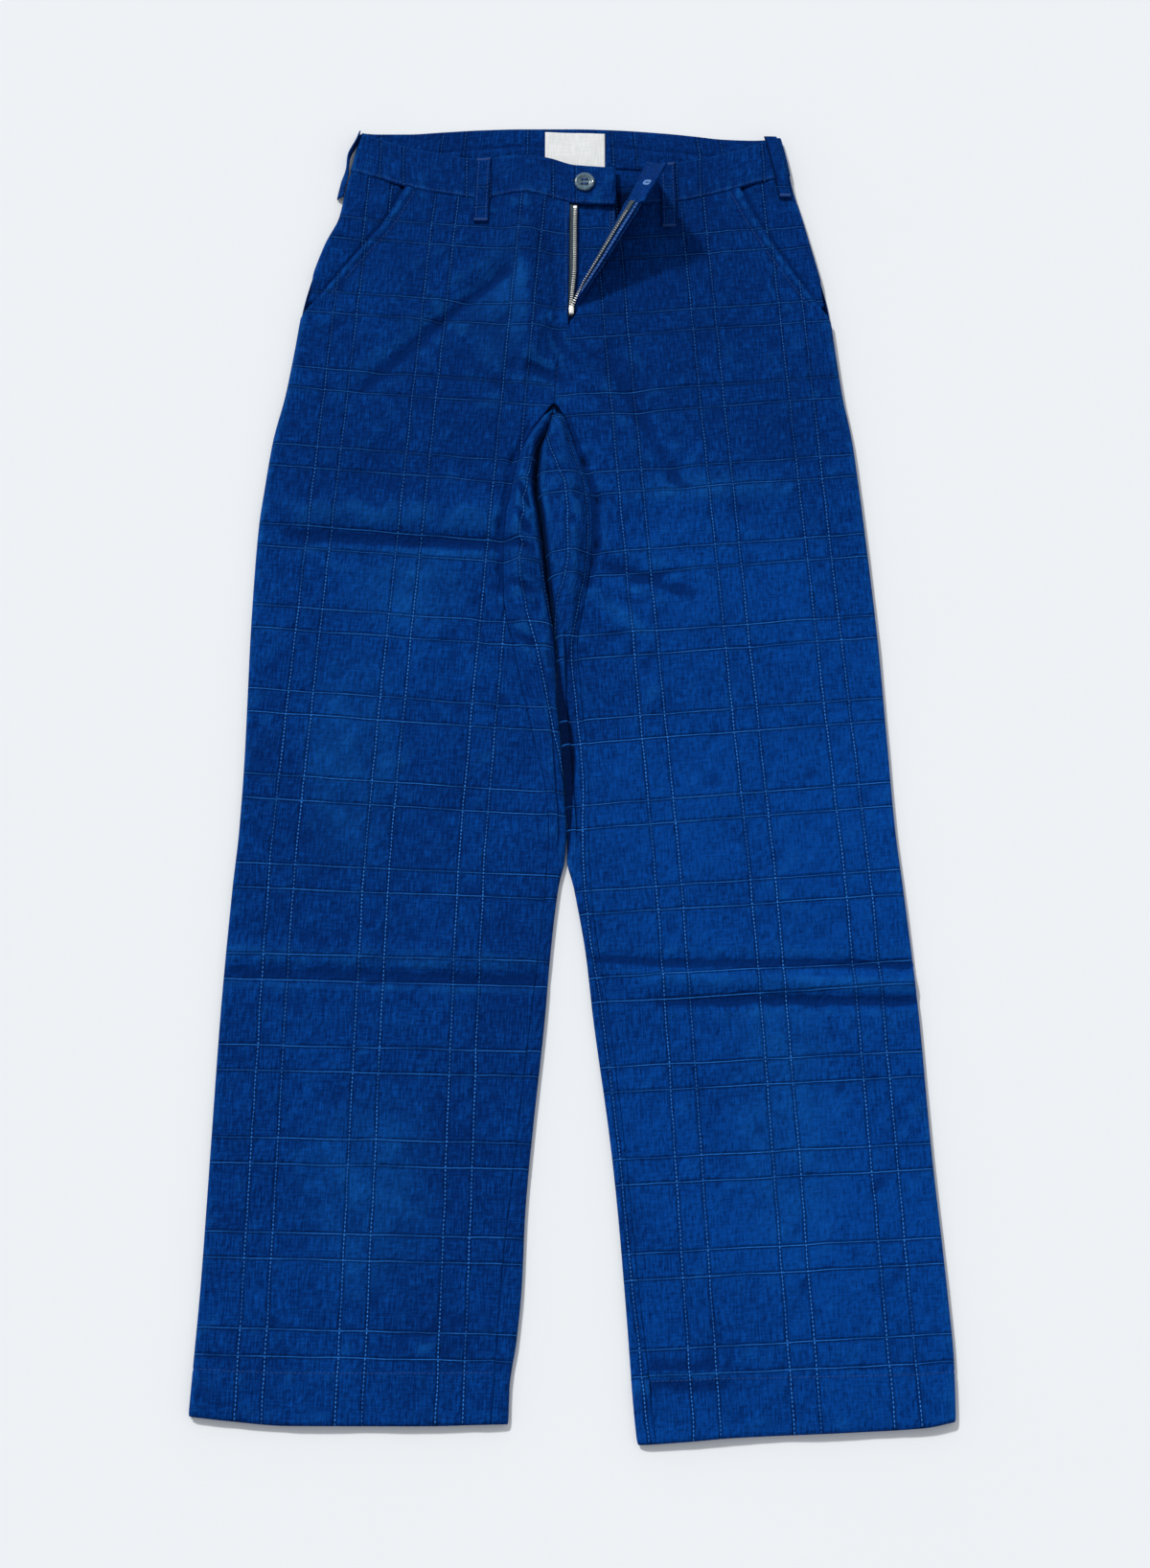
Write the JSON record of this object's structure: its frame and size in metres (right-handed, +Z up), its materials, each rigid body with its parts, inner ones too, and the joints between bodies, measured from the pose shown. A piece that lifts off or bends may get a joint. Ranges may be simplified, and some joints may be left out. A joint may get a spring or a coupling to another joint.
{
  "type": "sashiko trousers",
  "caption": "Wide straight check cotton trousers laid out flat, front up, with slant pockets, belt loops and an open zip fly whose flap is turned back.",
  "frame": {"origin": "middle of the laid-out garment's bounding box, on the floor under it", "axes": "+X to the wearer's left, +Y from the hems to the waist, +Z up from the floor"},
  "size_m": [0.5497, 1.0869, 0.0689],
  "materials": {
    "indigo_check": "indigo-dyed slub cotton with paired check lines",
    "zip_tape": "grey-blue woven zip tape",
    "zip_metal": "old silver metal zip",
    "button_resin": "dark blue-grey polished resin with a rim",
    "label_cloth": "white woven label, bare"
  },
  "bodies": {
    "root": {"right_front": "indigo_check", "left_front": "indigo_check", "right_back": "indigo_check", "left_back": "indigo_check", "right_pocket_facing": "indigo_check", "left_pocket_facing": "indigo_check", "waistband_right_front": "indigo_check", "waistband_left_front": "indigo_check", "waistband_back": "indigo_check", "fly_shield": "indigo_check", "fly_facing": "indigo_check", "zip_tape_right": "zip_tape", "zip_tape_left": "zip_tape", "zip_slider": "zip_metal", "button": "button_resin", "label": "label_cloth", "belt_loop_right_front": "indigo_check", "belt_loop_left_front": "indigo_check", "belt_loop_right_side": "indigo_check", "belt_loop_left_side": "indigo_check"}
  },
  "joints": []
}
